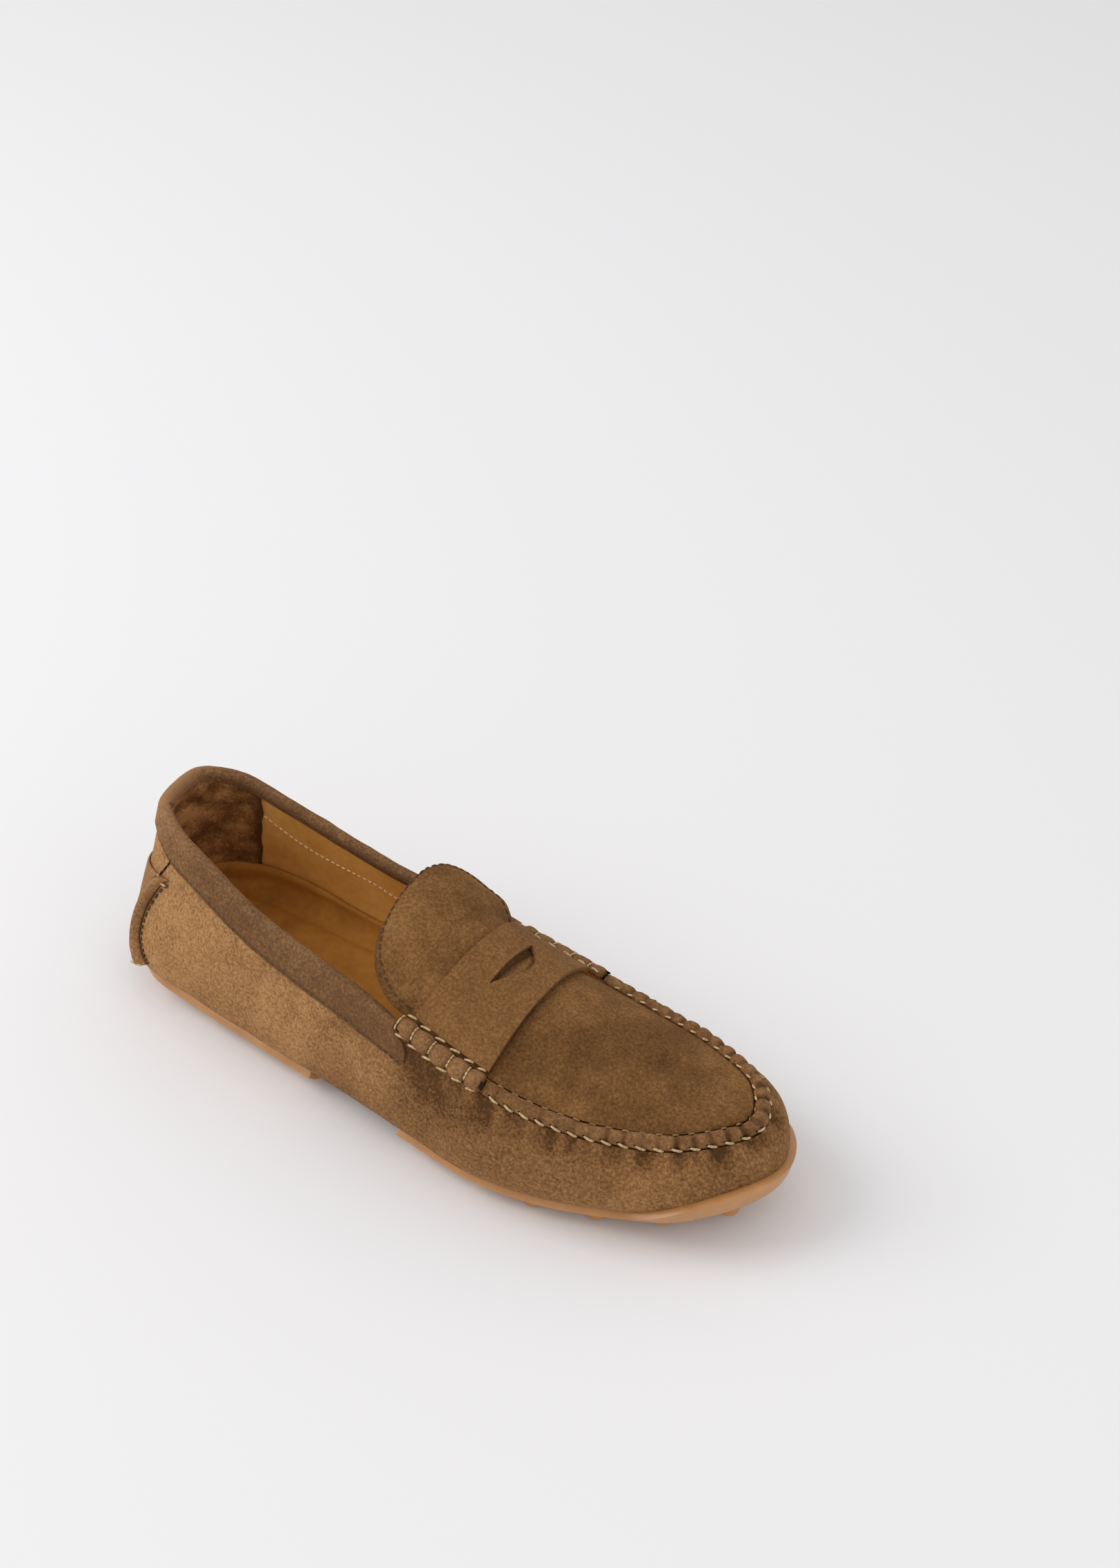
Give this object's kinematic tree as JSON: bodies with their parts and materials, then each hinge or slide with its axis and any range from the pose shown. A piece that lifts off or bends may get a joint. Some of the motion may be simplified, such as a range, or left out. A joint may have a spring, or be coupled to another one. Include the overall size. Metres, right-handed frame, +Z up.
{
  "type": "driving moccasin",
  "caption": "Driving moccasin: low slip-on of suede wrapped under the foot, with a raised apron seam, a slotted strap, rolled side bindings and rubber pads with studs",
  "frame": {"origin": "middle of the shoe's box at floor level, under the studs", "axes": "+X from heel to toe, +Y to the inner (medial) side of the foot, +Z up"},
  "size_m": [0.2933, 0.0998, 0.0843],
  "materials": {
    "suede": "brushed tan-brown suede, leather lining",
    "suede_apron": "brushed tan-brown suede",
    "suede_strap": "brushed tan-brown suede",
    "suede_collar": "darker worn suede band",
    "suede_seam": "gathered suede edge with cream stitches",
    "suede_roll": "rolled suede bound with cream thread",
    "suede_roll_inner": "rolled suede bound with cream thread",
    "suede_patch": "brushed tan-brown suede",
    "rubber_knob": "gum rubber, matt",
    "leather_insole": "smooth tan leather",
    "rubber_heel": "gum rubber, matt",
    "rubber_forefoot": "gum rubber, matt"
  },
  "bodies": {
    "root": {"upper": "suede", "apron": "suede_apron", "strap": "suede_strap", "collar": "suede_collar", "seam_ridge": "suede_seam", "side_roll_outer": "suede_roll", "side_roll_inner": "suede_roll_inner", "heel_patch": "suede_patch", "heel_knob": "rubber_knob", "insole": "leather_insole", "outsole_heel": "rubber_heel", "outsole_forefoot": "rubber_forefoot"}
  },
  "joints": []
}
